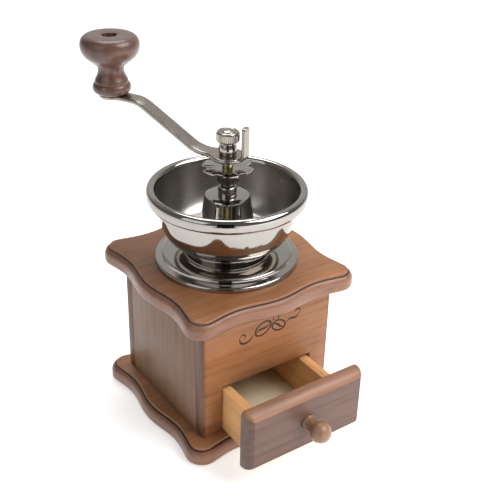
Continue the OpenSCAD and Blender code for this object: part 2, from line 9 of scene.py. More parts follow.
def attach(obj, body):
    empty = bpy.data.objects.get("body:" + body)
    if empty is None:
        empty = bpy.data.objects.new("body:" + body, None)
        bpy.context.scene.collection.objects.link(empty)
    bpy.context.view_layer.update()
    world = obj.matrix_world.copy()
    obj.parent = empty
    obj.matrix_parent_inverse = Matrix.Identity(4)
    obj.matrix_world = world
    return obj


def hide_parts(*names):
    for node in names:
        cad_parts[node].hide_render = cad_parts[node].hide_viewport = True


MM = 0.001
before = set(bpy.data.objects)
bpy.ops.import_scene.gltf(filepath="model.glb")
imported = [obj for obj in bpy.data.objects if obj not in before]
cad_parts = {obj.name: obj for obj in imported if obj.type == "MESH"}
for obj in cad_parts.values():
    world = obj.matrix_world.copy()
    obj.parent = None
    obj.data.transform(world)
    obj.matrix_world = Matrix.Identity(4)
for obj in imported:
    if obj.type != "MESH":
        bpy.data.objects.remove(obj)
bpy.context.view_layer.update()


# ---------------------------------------------------------------- small helpers

def arc(cx, cy, r, a0, a1, n):
    """Points of an arc in the plane, angles in degrees."""
    points = []
    for i in range(n + 1):
        a = math.radians(a0 + (a1 - a0) * i / n)
        points.append((cx + r * math.cos(a), cy + r * math.sin(a)))
    return points


def curve(p0, p1, p2, p3, n):
    """Points of a cubic curve with end points p0, p3 and handles p1, p2."""
    points = []
    for i in range(n + 1):
        t = i / n
        s = 1 - t
        points.append(tuple(s ** 3 * a + 3 * s * s * t * b + 3 * s * t * t * c + t ** 3 * d
                            for a, b, c, d in zip(p0, p1, p2, p3)))
    return points


def offset(path, t):
    """The path moved t to its left."""
    moved = []
    for i, (x, y) in enumerate(path):
        ax, ay = path[max(i - 1, 0)]
        bx, by = path[min(i + 1, len(path) - 1)]
        length = math.hypot(bx - ax, by - ay)
        moved.append((x - t * (by - ay) / length, y + t * (bx - ax) / length))
    return moved


def sheet(path, t):
    """Closed outline of sheet metal t thick to the left of the path."""
    return path + offset(path, t)[::-1]


def make(name, verts, faces, material, body, *nodes, slot=None, smooth_angle=35, bevel=None):
    """One piece from points in millimetres, riding on a body and standing for CAD nodes."""
    mesh = bpy.data.meshes.new(name)
    mesh.from_pydata([Vector(v) * MM for v in verts], [], faces)
    obj = bpy.data.objects.new(name, mesh)
    bpy.context.scene.collection.objects.link(obj)
    finish_piece(obj, material, body, *nodes, slot=slot, smooth_angle=smooth_angle, bevel=bevel)
    return obj


def finish_piece(obj, material, body, *nodes, slot=None, smooth_angle=35, bevel=None):
    """Cleans the mesh, rounds its edges, shades it smooth and hands it to the frame."""
    bm = bmesh.new()
    bm.from_mesh(obj.data)
    bmesh.ops.remove_doubles(bm, verts=bm.verts, dist=1e-7)
    bmesh.ops.recalc_face_normals(bm, faces=bm.faces)
    bm.to_mesh(obj.data)
    bm.free()
    if bevel:
        width, segments, angle = bevel
        mod = obj.modifiers.new("round", "BEVEL")
        mod.width = width * MM
        mod.segments = segments
        mod.limit_method = "ANGLE"
        mod.angle_limit = math.radians(angle)
        mod.miter_outer = "MITER_ARC"
        apply_modifiers(obj)
    obj.data.materials.clear()
    obj.data.materials.append(material)
    smooth(obj, smooth_angle)
    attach(obj, body)
    if nodes:
        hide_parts(*nodes)


def apply_modifiers(obj):
    """Turns an object's modifiers into its mesh."""
    bpy.context.view_layer.update()
    graph = bpy.context.evaluated_depsgraph_get()
    mesh = bpy.data.meshes.new_from_object(obj.evaluated_get(graph))
    obj.modifiers.clear()
    obj.data = mesh


def smooth(obj, angle):
    """Smooth faces, with sharp edges where two faces meet at more than the angle."""
    limit = math.radians(angle)
    bm = bmesh.new()
    bm.from_mesh(obj.data)
    for face in bm.faces:
        face.smooth = True
    for edge in bm.edges:
        if len(edge.link_faces) == 2:
            edge.smooth = edge.calc_face_angle(0.0) < limit
    bm.to_mesh(obj.data)
    bm.free()


def cut(obj, verts, faces):
    """Takes a closed shape, given in millimetres, out of an object."""
    mesh = bpy.data.meshes.new("cutter")
    mesh.from_pydata([Vector(v) * MM for v in verts], [], faces)
    bm = bmesh.new()
    bm.from_mesh(mesh)
    bmesh.ops.recalc_face_normals(bm, faces=bm.faces)
    bm.to_mesh(mesh)
    bm.free()
    tool = bpy.data.objects.new("cutter", mesh)
    bpy.context.scene.collection.objects.link(tool)
    mod = obj.modifiers.new("cut", "BOOLEAN")
    mod.object = tool
    mod.operation = "DIFFERENCE"
    mod.solver = "EXACT"
    apply_modifiers(obj)
    bpy.data.objects.remove(tool)


def lathe_mesh(profile, steps, ripple=None):
    """Turns a closed outline of (radius, height) about Z. ripple gives what to add to a radius."""
    verts = []
    faces = []
    n = len(profile)
    for k in range(steps):
        a = 2 * math.pi * k / steps
        for r, z in profile:
            if ripple:
                r += ripple(a, r, z)
            verts.append((r * math.cos(a), r * math.sin(a), z))
    for k in range(steps):
        m = (k + 1) % steps
        for i in range(n):
            j = (i + 1) % n
            faces.append((k * n + i, m * n + i, m * n + j, k * n + j))
    return verts, faces


def moved(verts, matrix):
    """The points carried by a matrix."""
    return [tuple(matrix @ Vector(v)) for v in verts]


def prism(outline, z0, z1):
    """Upright prism from an outline in X and Y."""
    n = len(outline)
    verts = [(x, y, z0) for x, y in outline] + [(x, y, z1) for x, y in outline]
    faces = [tuple(range(n - 1, -1, -1)), tuple(range(n, 2 * n))]
    faces += [(i, (i + 1) % n, n + (i + 1) % n, n + i) for i in range(n)]
    return verts, faces


def loft(rings, closed_ends=True):
    """Skin over rings that have the same number of points."""
    n = len(rings[0])
    verts = [p for ring in rings for p in ring]
    faces = []
    for j in range(len(rings) - 1):
        for i in range(n):
            k = (i + 1) % n
            faces.append((j * n + i, j * n + k, (j + 1) * n + k, (j + 1) * n + i))
    if closed_ends:
        faces.append(tuple(range(n - 1, -1, -1)))
        faces.append(tuple((len(rings) - 1) * n + i for i in range(n)))
    return verts, faces


def disc(r, n):
    """Points of a circle about the origin."""
    return [(r * math.cos(2 * math.pi * i / n), r * math.sin(2 * math.pi * i / n)) for i in range(n)]


# ---------------------------------------------------------------- materials

class Nodes:
    """Short way to build a material's node tree."""

    def __init__(self, name):
        self.material = bpy.data.materials.new(name)
        self.material.use_nodes = True
        self.tree = self.material.node_tree
        self.tree.nodes.clear()
        self.shader = self.add("ShaderNodeBsdfPrincipled")
        out = self.add("ShaderNodeOutputMaterial")
        self.link(self.shader.outputs[0], out.inputs["Surface"])
        self.coord = self.add("ShaderNodeTexCoord").outputs["Object"]

    def add(self, kind, **settings):
        """A new node with the given settings."""
        node = self.tree.nodes.new(kind)
        for key, value in settings.items():
            setattr(node, key, value)
        return node

    def link(self, a, b):
        """Joins an output socket to an input socket."""
        self.tree.links.new(a, b)

    def mapped(self, scale, location):
        """Object coordinates, scaled and shifted."""
        node = self.add("ShaderNodeMapping")
        node.inputs["Scale"].default_value = scale
        node.inputs["Location"].default_value = location
        self.link(self.coord, node.inputs["Vector"])
        return node.outputs[0]

    def noise(self, vector, scale, detail=4.0, rough=0.55, distortion=0.0):
        """Fractal noise between 0 and 1."""
        node = self.add("ShaderNodeTexNoise")
        node.inputs["Scale"].default_value = scale
        node.inputs["Detail"].default_value = detail
        node.inputs["Roughness"].default_value = rough
        node.inputs["Distortion"].default_value = distortion
        self.link(vector, node.inputs["Vector"])
        return node.outputs["Fac"]

    def ramp(self, value, stops):
        """Colours by value; stops are (position, colour)."""
        node = self.add("ShaderNodeValToRGB")
        ramp = node.color_ramp
        ramp.interpolation = "EASE"
        while len(ramp.elements) < len(stops):
            ramp.elements.new(0.5)
        for element, (position, colour) in zip(ramp.elements, stops):
            element.position = position
            element.color = (*colour, 1)
        self.link(value, node.inputs[0])
        return node.outputs[0]

    def mix(self, kind, factor, a, b):
        """Blends two colours; each argument is a socket or a constant."""
        node = self.add("ShaderNodeMix", data_type="RGBA", blend_type=kind)
        for socket, value in ((node.inputs[0], factor), (node.inputs[6], a), (node.inputs[7], b)):
            if hasattr(value, "is_linked"):
                self.link(value, socket)
            elif isinstance(value, (int, float)):
                socket.default_value = value
            else:
                socket.default_value = (*value, 1)
        return node.outputs[2]

    def math(self, operation, a, b=0.0):
        """Arithmetic on two values; each is a socket or a constant."""
        node = self.add("ShaderNodeMath", operation=operation)
        for socket, value in ((node.inputs[0], a), (node.inputs[1], b)):
            if hasattr(value, "is_linked"):
                self.link(value, socket)
            else:
                socket.default_value = value
        return node.outputs[0]

    def bump(self, height, strength, distance):
        """Fine relief from a height; the distance is in millimetres."""
        node = self.add("ShaderNodeBump")
        node.inputs["Strength"].default_value = strength
        node.inputs["Distance"].default_value = distance * MM
        self.link(height, node.inputs["Height"])
        self.link(node.outputs[0], self.shader.inputs["Normal"])

    def set(self, **values):
        """Sets or links the shader's sockets by name."""
        for key, value in values.items():
            socket = self.shader.inputs[key.replace("_", " ")]
            if hasattr(value, "is_linked"):
                self.link(value, socket)
            else:
                socket.default_value = value


def along(axis, small, large):
    """Mapping scale that draws a pattern out along one axis."""
    return tuple(small if i == axis else large for i in range(3))


def wood(name, pale, mid, dark, axis, seed, roughness=0.38, coat=0.16, pore=0.4, rings=0.16, edge=None):
    """Stained or bare wood with growth rings, drawn-out figure, pores and blotchy stain.

    axis is the grain's direction and seed shifts the pattern. pore and rings say how strongly
    those show. edge is (axis, from, to): the colour darkens over that distance from the middle.
    """
    m = Nodes(name)
    shift = (seed * 0.31, seed * 0.17, seed * 0.23)
    grain = m.mapped(along(axis, 0.045, 1.0), shift)
    warp = m.noise(grain, 28.0, 3.0, 0.5)
    figure = m.noise(grain, 380.0, 7.0, 0.66, 0.5)
    band = m.add("ShaderNodeTexWave", wave_type="BANDS", bands_direction="DIAGONAL", wave_profile="SIN")
    band.inputs["Scale"].default_value = 48.0
    band.inputs["Distortion"].default_value = 7.0
    band.inputs["Detail"].default_value = 3.0
    band.inputs["Detail Scale"].default_value = 1.4
    m.link(grain, band.inputs["Vector"])
    base = m.ramp(figure, [(0.28, dark), (0.52, mid), (0.74, pale)])
    ring = m.ramp(band.outputs["Fac"], [(0.0, (0.62, 0.60, 0.58)), (0.55, (1.0, 1.0, 1.0)),
                                        (1.0, (0.93, 0.9, 0.87))])
    colour = m.mix("MULTIPLY", rings, base, ring)
    blotch = m.ramp(m.noise(m.coord, 22.0, 2.0, 0.5),
                    [(0.3, (0.86, 0.84, 0.83)), (0.7, (1.04, 1.02, 1.0))])
    colour = m.mix("MULTIPLY", 0.8, colour, blotch)
    pores = m.add("ShaderNodeTexVoronoi", feature="F1")
    pores.inputs["Scale"].default_value = 1.0
    m.link(m.mapped(along(axis, 40.0, 1150.0), shift), pores.inputs["Vector"])
    streak = m.ramp(pores.outputs["Distance"], [(0.05, (0.45, 0.42, 0.40)), (0.26, (1.0, 1.0, 1.0))])
    colour = m.mix("MULTIPLY", pore, colour, streak)
    colour = m.mix("MULTIPLY", 0.25, colour, m.ramp(warp, [(0.3, (0.75, 0.75, 0.75)), (0.6, (1, 1, 1))]))
    if edge:
        edge_axis, edge_from, edge_to = edge
        xyz = m.add("ShaderNodeSeparateXYZ")
        m.link(m.coord, xyz.inputs[0])
        away = m.add("ShaderNodeMapRange")
        away.inputs["From Min"].default_value = edge_from * MM
        away.inputs["From Max"].default_value = edge_to * MM
        m.link(m.math("ABSOLUTE", xyz.outputs[edge_axis]), away.inputs["Value"])
        dark_end = m.ramp(away.outputs[0], [(0.0, (1.0, 1.0, 1.0)), (1.0, (0.42, 0.40, 0.40))])
        colour = m.mix("MULTIPLY", 1.0, colour, dark_end)
    m.set(Base_Color=colour)
    rough = m.add("ShaderNodeMapRange")
    rough.inputs["To Min"].default_value = roughness - 0.06
    rough.inputs["To Max"].default_value = roughness + 0.10
    m.link(m.noise(m.coord, 60.0, 3.0), rough.inputs["Value"])
    m.link(rough.outputs[0], m.shader.inputs["Roughness"])
    m.shader.inputs["Coat Weight"].default_value = coat
    m.shader.inputs["Coat Roughness"].default_value = 0.34
    m.shader.inputs["Specular IOR Level"].default_value = 0.38
    pore_height = m.math("MULTIPLY", pores.outputs["Distance"], 0.5)
    m.bump(m.math("ADD", pore_height, m.math("MULTIPLY", figure, 0.7)), 0.22, 0.22)
    return m.material


def metal(name, colour, roughness, mottle=0.04, spin=0.0, grain=0.0):
    """Metal whose polish varies by mottle. spin adds fine turning marks about Z, grain a fine tooth."""
    m = Nodes(name)
    m.shader.inputs["Metallic"].default_value = 1.0
    cloud = m.noise(m.coord, 90.0, 4.0, 0.6)
    tint = m.ramp(cloud, [(0.3, tuple(c * 0.93 for c in colour)), (0.7, colour)])
    m.set(Base_Color=tint)
    rough = m.add("ShaderNodeMapRange")
    rough.inputs["From Min"].default_value = 0.3
    rough.inputs["From Max"].default_value = 0.7
    rough.inputs["To Min"].default_value = max(roughness - mottle, 0.02)
    rough.inputs["To Max"].default_value = roughness + mottle
    m.link(m.noise(m.coord, 160.0, 5.0, 0.65), rough.inputs["Value"])
    m.link(rough.outputs[0], m.shader.inputs["Roughness"])
    if spin:
        xyz = m.add("ShaderNodeSeparateXYZ")
        m.link(m.coord, xyz.inputs[0])
        x_squared = m.math("MULTIPLY", xyz.outputs[0], xyz.outputs[0])
        y_squared = m.math("MULTIPLY", xyz.outputs[1], xyz.outputs[1])
        radius = m.math("SQRT", m.math("ADD", x_squared, y_squared))
        line = m.add("ShaderNodeCombineXYZ")
        m.link(m.math("MULTIPLY", radius, 2600.0), line.inputs[0])
        m.link(m.math("MULTIPLY", xyz.outputs[2], 2600.0), line.inputs[1])
        m.bump(m.noise(line.outputs[0], 1.0, 2.0), spin, 0.02)
    elif grain:
        m.bump(m.noise(m.coord, 700.0, 3.0, 0.6), grain, 0.03)
    return m.material


STAIN = dict(pale=(0.42, 0.190, 0.080), mid=(0.335, 0.142, 0.058), dark=(0.225, 0.090, 0.036))
# lighter copy of the boards' stain for the base board: painted light, for lamp light that reaches the base
# too weakly
BASE_PAINTED_LIGHT = dict(pale=(0.50, 0.250, 0.120), mid=(0.41, 0.195, 0.088), dark=(0.29, 0.128, 0.056))
# darker copy of the boards' stain for the side panels: painted shade for sides that face away from the light
PAINTED_SHADE_SIDE = dict(pale=(0.275, 0.155, 0.088), mid=(0.225, 0.122, 0.068), dark=(0.165, 0.086, 0.047))
# the boards' bead: a darker, greyer tone, partly its stain and partly painted sheen
BEAD_AND_SHEEN = dict(pale=(0.31, 0.150, 0.085), mid=(0.25, 0.115, 0.065), dark=(0.18, 0.080, 0.046))
# near-black line on the step above the bead: painted shade in the crease
GROOVE_PAINTED_SHADE = dict(pale=(0.110, 0.055, 0.035), mid=(0.085, 0.042, 0.027), dark=(0.060, 0.030, 0.020))
MAUVE = dict(pale=(0.170, 0.094, 0.072), mid=(0.136, 0.072, 0.054), dark=(0.098, 0.050, 0.037))
# lighter tone for the drawer front's upward faces: partly wear, partly painted highlight
WORN_AND_HIGHLIGHT = dict(pale=(0.36, 0.190, 0.115), mid=(0.29, 0.145, 0.086), dark=(0.20, 0.095, 0.055))
UMBER = dict(pale=(0.150, 0.076, 0.054), mid=(0.108, 0.052, 0.037), dark=(0.070, 0.032, 0.024))
TAN = dict(pale=(0.92, 0.55, 0.27), mid=(0.82, 0.46, 0.20), dark=(0.66, 0.34, 0.13))

wood_board = wood("stained_board", axis=0, seed=1.0, **STAIN)
# the base board takes the lighter copy: painted light
wood_base_painted_light = wood("stained_base_painted_light", axis=0, seed=4.0, **BASE_PAINTED_LIGHT)
# upward edge faces: partly wear, partly painted highlight
wood_worn_and_highlight = wood("worn_and_highlight_edge", axis=0, seed=14.0, rings=0.1, **WORN_AND_HIGHLIGHT)
# the colour darkens towards both ends of the front panel
wood_front = wood("stained_front", axis=0, seed=2.0, edge=(0, 46.5, 50.0), **STAIN)
# both side panels take the darker copy: painted shade
wood_side_painted_shade = wood("stained_side", axis=2, seed=3.0, coat=0.05, **PAINTED_SHADE_SIDE)
# bead colour: partly stain, partly painted sheen
wood_bead_and_sheen = wood("stained_bead_and_sheen", axis=0, seed=12.0, coat=0.45, rings=0.1, **BEAD_AND_SHEEN)
# the step's dark line: painted shade
wood_groove_painted_shade = wood("groove_painted_shade", axis=0, seed=13.0, coat=0.0, rings=0.1, **GROOVE_PAINTED_SHADE)
wood_drawer = wood("mauve_front", axis=0, seed=5.0, roughness=0.36, rings=0.3, **MAUVE)
wood_knob = wood("dark_turned", axis=2, seed=6.0, roughness=0.28, coat=0.6, rings=0.2, **UMBER)
wood_pull = wood("turned_pull", axis=1, seed=7.0, roughness=0.30, coat=0.35, rings=0.2,
                 pale=(0.32, 0.182, 0.105), mid=(0.26, 0.140, 0.080), dark=(0.19, 0.098, 0.055))
wood_bare_y = wood("bare_side", axis=1, seed=8.0, roughness=0.62, coat=0.0, **TAN)
wood_bare_x = wood("bare_back", axis=0, seed=9.0, roughness=0.62, coat=0.0, **TAN)
# near white: partly the ply's pale colour, partly painted light for the light that falls too weakly into the
# drawer
wood_ply_and_painted_light = wood("plywood", axis=1, seed=10.0, roughness=0.66, coat=0.0, rings=0.10, pore=0.12,
                pale=(0.97, 0.86, 0.60), mid=(0.93, 0.81, 0.55), dark=(0.86, 0.73, 0.47))
burnt = wood("burnt_line", axis=0, seed=11.0, roughness=0.75, coat=0.0,
             pale=(0.075, 0.042, 0.026), mid=(0.055, 0.030, 0.018), dark=(0.035, 0.018, 0.010))
nickel = metal("nickel", (0.42, 0.397, 0.366), 0.085, spin=0.04, mottle=0.02)
nickel_inside = metal("nickel_inside", (0.46, 0.435, 0.41), 0.28, mottle=0.008)
satin_nickel = metal("satin_nickel", (0.37, 0.338, 0.300), 0.27, mottle=0.05, grain=0.10)
cap_nickel = metal("cap_nickel", (0.42, 0.375, 0.33), 0.17, mottle=0.03)
zinc = metal("yellow_zinc", (0.55, 0.48, 0.24), 0.32, grain=0.08)
copper = metal("coppered_steel", (0.85, 0.50, 0.30), 0.40, grain=0.10)
plain_steel = metal("plain_steel", (0.62, 0.62, 0.62), 0.28, grain=0.08)
burr_iron = metal("burr_iron", (0.30, 0.30, 0.31), 0.42, grain=0.25)


# ---------------------------------------------------------------- sizes, in millimetres

BOARD_T = 12.0
TOP_Z = 97.0                 # underside of the top board
DECK_Z = TOP_Z + BOARD_T     # upper face of the top board
NECK_Z = DECK_Z + 11.4       # top of the collar
HALF = 50.0                  # half the width of the box
PANEL_T = 8.5
INNER_HALF = HALF - PANEL_T
FRONT_W = 91.0
FRONT_H = 44.4
FRONT_T = 9.8
FRONT_CORNER_R = 3.2
FRONT_BACK_Y = -85.4         # back face of the drawer front
DRAWER_Z = 12.6
DRAWER_L = 82.0
SIDE_OUT = 34.4              # half the drawer's width behind its front
SIDE_T = 6.9
SIDE_TOP = 44.5
FLOOR_Z = 13.6
FLOOR_T = 2.8
GROOVE = 3.0                 # depth of the groove that holds the drawer's floor
DOOR_HALF = 35.2
DOOR_H = 35.3
PULL_Z = DRAWER_Z + FRONT_H / 2 + 0.6
SHEET_T = 1.2
CRANK_L = 85.5
CRANK_AZ = math.radians(118)
HUB_TOP = 182.4
ARM_TOP = 206.8
ARM_T = 2.8
KNOB_Z = ARM_TOP + 0.4
STAR_Z = 172.4
STAR_BOSS_Z = 162.4
SCREW_AZIMUTHS = (59, 179, 299)
BORE_R = 24.0                # hole in the top board, over the burrs

# ---------------------------------------------------------------- scalloped boards

BOARD_HALF = 58.0
WAVE_DEPTH = 1.9
WAVE_END = 50.0


def wave(x):
    """Distance from the axis to a board's waved edge."""
    return BOARD_HALF + WAVE_DEPTH * math.cos(math.radians(6 * x))


def wave_slope(x):
    """Slope of that edge."""
    return -WAVE_DEPTH * math.radians(6) * math.sin(math.radians(6 * x))


def board_outline(d, side_steps=80, corner_steps=14):
    """Outline of a board moved out by d: four waved sides with rounded corners."""
    tilt = math.atan(wave_slope(WAVE_END))
    corner_r = (wave(WAVE_END) - WAVE_END) / (math.sin(tilt) + math.cos(tilt))
    corner_c = WAVE_END + corner_r * math.sin(tilt)
    side = []
    for i in range(side_steps):
        x = WAVE_END - 2 * WAVE_END * i / side_steps
        m = wave_slope(x)
        length = math.hypot(m, 1)
        side.append((x - d * m / length, wave(x) + d / length))
    for i in range(corner_steps):
        a = math.pi / 2 - tilt + (math.pi / 2 + 2 * tilt) * i / corner_steps
        side.append((-corner_c + (corner_r + d) * math.cos(a), corner_c + (corner_r + d) * math.sin(a)))
    outline = []
    for k in range(4):
        c = round(math.cos(math.pi / 2 * k))
        s = round(math.sin(math.pi / 2 * k))
        outline += [(x * c - y * s, x * s + y * c) for x, y in side]
    return outline


# a board's edge from its underside up: how far out, and how high
EDGE = [(1.3, 0), (1.9, 0.06), (2.6, 0.35), (3.2, 0.9), (3.5, 1.9), (3.5, 3.6)]
EDGE += [(0.3 + 3.2 * math.cos(math.radians(a)), 5.6 + 4.6 * math.sin(math.radians(a)))
         for a in range(0, 91, 9)]
EDGE += [(0.06, 10.22), (0.0, 10.4), (0.0, 11.5), (-0.06, 11.72), (-0.24, 11.92), (-0.55, 12)]


def board(name, z0, material, node):
    """A board from its edge's profile; it also carries the bead's colour, partly painted sheen, and the
    groove's painted shade.
    """
    rings = [[(x, y, z0 + z) for x, y in board_outline(d)] for d, z in EDGE]
    verts, faces = loft(rings)
    obj = make(name, verts, faces, material, "frame", node, slot="stained_wood", smooth_angle=32)
    obj.data.materials.append(wood_bead_and_sheen)
    obj.data.materials.append(wood_groove_painted_shade)
    return obj


def stain_edges(obj, z0):
    """Gives a board's bead its darker, greyer colour, partly stain and partly painted sheen, and paints shade
    as a dark line on the step above the bead.
    """
    for face in obj.data.polygons:
        height = face.center.z / MM - z0
        if abs(face.normal.z) > 0.999 or height < 0.02:
            continue
        if max(abs(face.center.x), abs(face.center.y)) < 30 * MM:
            continue
        if height < 11.5:
            # index 2 paints shade on the step; index 1 is the bead's colour with its painted sheen
            face.material_index = 2 if 9.9 < height < 10.5 else 1


base = board("base_board_piece", 0.0, wood_base_painted_light, "base_board")
stain_edges(base, 0.0)
top = board("top_board_piece", TOP_Z, wood_board, "top_board")
cut(top, *prism(disc(BORE_R, 96), TOP_Z - 1, DECK_Z + 1))
smooth(top, 32)
stain_edges(top, TOP_Z)

# ---------------------------------------------------------------- box panels


def plate_outline(sign):
    """Front or back panel seen from above, with its two outer corners rounded."""
    r = 2.0
    points = arc(-HALF + r, -HALF + r, r, 180, 270, 8) + arc(HALF - r, -HALF + r, r, 270, 360, 8)
    points += [(HALF, -INNER_HALF), (-HALF, -INNER_HALF)]
    return [(sign * x, sign * y) for x, y in points]


front = make("front_panel_piece", *prism(plate_outline(1), BOARD_T, TOP_Z), wood_front, "frame",
             "front_panel", slot="stained_wood")
door = [(-DOOR_HALF, -HALF - 1), (DOOR_HALF, -HALF - 1),
        (DOOR_HALF, -INNER_HALF + 1), (-DOOR_HALF, -INNER_HALF + 1)]
cut(front, *prism(door, BOARD_T - 1, BOARD_T + DOOR_H))
finish_piece(front, wood_front, "frame", "front_panel", slot="stained_wood", bevel=(0.35, 2, 50))
make("back_panel_piece", *prism(plate_outline(-1), BOARD_T, TOP_Z), wood_front, "frame",
     "back_panel", slot="stained_wood", bevel=(0.25, 2, 50))
for side, word in ((-1, "left"), (1, "right")):
    outline = [(side * HALF, -INNER_HALF), (side * HALF, INNER_HALF),
               (side * INNER_HALF, INNER_HALF), (side * INNER_HALF, -INNER_HALF)]
    make(f"{word}_panel_piece", *prism(outline, BOARD_T, TOP_Z), wood_side_painted_shade, "frame",
         f"{word}_panel", slot="stained_wood", bevel=(0.25, 2, 50))

# ---------------------------------------------------------------- drawer


def front_outline(d):
    """Outline of the drawer front in X and Z, moved in by d."""
    w = FRONT_W / 2 - d
    h = FRONT_H / 2 - d
    r = max(FRONT_CORNER_R - d * 0.4, 1.0)
    points = []
    for cx, cz, a in ((w - r, h - r, 0), (-w + r, h - r, 90),
                      (-w + r, -h + r, 180), (w - r, -h + r, 270)):
        points += arc(cx, cz, r, a, a + 90, 8)
    return points


# how far each ring stands in front of the back face, and how far in it is moved
levels = [(1 - math.sin(math.radians(a)), 1 - math.cos(math.radians(a))) for a in (90, 67, 45, 22, 0)]
ROUND_R = 9.2
ROUND_END = 58   # the front edges' rounding ends at a crisp line, at this angle
for a in (0, 6, 13, 20, 27, 34, 41, 47, 53, ROUND_END):
    rise = ROUND_R * (math.sin(math.radians(ROUND_END)) - math.sin(math.radians(a)))
    levels.append((FRONT_T - rise, ROUND_R * (1 - math.cos(math.radians(a)))))
levels += [(FRONT_T, levels[-1][1] + 0.25)]
rings = [[(x, FRONT_BACK_Y - y, DRAWER_Z + FRONT_H / 2 + z) for x, z in front_outline(d)] for y, d in levels]
drawer_front = make("drawer_front_piece", *loft(rings), wood_drawer, "drawer", "drawer_front",
                    slot="dark_stained_wood", smooth_angle=18)
drawer_front.data.materials.append(wood_worn_and_highlight)
for face in drawer_front.data.polygons:
    if face.normal.z > 0.35:
        face.material_index = 1   # the upward faces of the top edge are lighter: partly lost stain, partly a painted highlight

SIDE_IN = SIDE_OUT - SIDE_T
side_section = [(SIDE_OUT, DRAWER_Z), (SIDE_OUT, SIDE_TOP), (SIDE_IN, SIDE_TOP), (SIDE_IN, FLOOR_Z + FLOOR_T),
                (SIDE_IN + GROOVE, FLOOR_Z + FLOOR_T), (SIDE_IN + GROOVE, FLOOR_Z), (SIDE_IN, FLOOR_Z),
                (SIDE_IN, DRAWER_Z)]
for side, word in ((-1, "left"), (1, "right")):
    rings = [[(side * x, y, z) for x, z in side_section] for y in (FRONT_BACK_Y, FRONT_BACK_Y + DRAWER_L)]
    make(f"drawer_{word}_side_piece", *loft(rings), wood_bare_y, "drawer",
         f"drawer_{word}_side", slot="pale_wood", bevel=(0.5, 3, 50))
back_y = FRONT_BACK_Y + DRAWER_L - SIDE_T
back_section = [(back_y, DRAWER_Z), (back_y, FLOOR_Z), (back_y + GROOVE, FLOOR_Z),
                (back_y + GROOVE, FLOOR_Z + FLOOR_T), (back_y, FLOOR_Z + FLOOR_T), (back_y, SIDE_TOP),
                (back_y + SIDE_T, SIDE_TOP), (back_y + SIDE_T, DRAWER_Z)]
rings = [[(x, y, z) for y, z in back_section] for x in (-SIDE_IN, SIDE_IN)]
make("drawer_back_piece", *loft(rings), wood_bare_x, "drawer", "drawer_back", slot="pale_wood",
     bevel=(0.4, 3, 50))

# ---------------------------------------------------------------- turned parts


def turned(name, profile, material, body, node, slot, steps, ripple=None, matrix=None, smooth_angle=35):
    """A piece turned about Z, then carried by the matrix."""
    verts, faces = lathe_mesh(profile, steps, ripple)
    if matrix is not None:
        verts = moved(verts, matrix)
    return make(name, verts, faces, material, body, node, slot=slot, smooth_angle=smooth_angle)


collar_path = [(47.3, DECK_Z)] + arc(45.7, DECK_Z + 1.9, 1.6, 0, 70, 8)
collar_path += [(43.7, DECK_Z + 3.9), (42.8, DECK_Z + 4.3)] + arc(41.0, DECK_Z + 5.3, 1.4, 0, 72, 8)
collar_path += curve((39.7, DECK_Z + 7.1), (35.3, DECK_Z + 8.3), (31.1, DECK_Z + 8.8),
                     (29.1, NECK_Z - 0.9), 20)
collar_path += [(28.4, NECK_Z - 0.25), (27.6, NECK_Z), (19.0, NECK_Z)]
turned("collar_piece", sheet(collar_path, SHEET_T), nickel, "frame", "collar_ring", "bright_plate", 256)

CURL_R = 48.8                # centre of the hopper's rolled rim
CURL_Z = 157.4
WALL_R = 46.2                # the bowl's inside lies within this radius
bowl_path = [(19.0, NECK_Z), (30.2, NECK_Z)] + arc(30.2, NECK_Z + 1.5, 1.5, -70, 35, 8)
bowl_path += curve((31.9, NECK_Z + 2.9), (41.2, NECK_Z + 4.6), (44.6, NECK_Z + 17), (46.4, NECK_Z + 33), 40)
bowl_path += [(CURL_R + 1.9 * math.cos(math.radians(a)), CURL_Z + 2.4 * math.sin(math.radians(a)))
              for a in range(180, -1, -10)]
bowl_path += [(CURL_R + 1.9, CURL_Z - 2.4), (CURL_R + 1.75, CURL_Z - 3.1), (CURL_R + 1.4, CURL_Z - 3.8),
              (CURL_R + 1.05, CURL_Z - 4.3), (CURL_R + 0.6, CURL_Z - 4.6), (CURL_R + 0.1, CURL_Z - 4.7),
              (CURL_R - 0.3, CURL_Z - 4.7)]
bowl = turned("hopper_piece", sheet(bowl_path, SHEET_T), nickel, "frame", "hopper_bowl", "bright_plate", 256)
bowl.data.materials.append(nickel_inside)
for face in bowl.data.polygons:
    across = math.hypot(face.center.x, face.center.y)
    inward = -(face.normal.x * face.center.x + face.normal.y * face.center.y) / across
    inside = across < WALL_R * MM and 121.2 * MM < face.center.z < 158 * MM
    if inside and (inward > 0.1 or face.normal.z > 0.5):
        face.material_index = 1

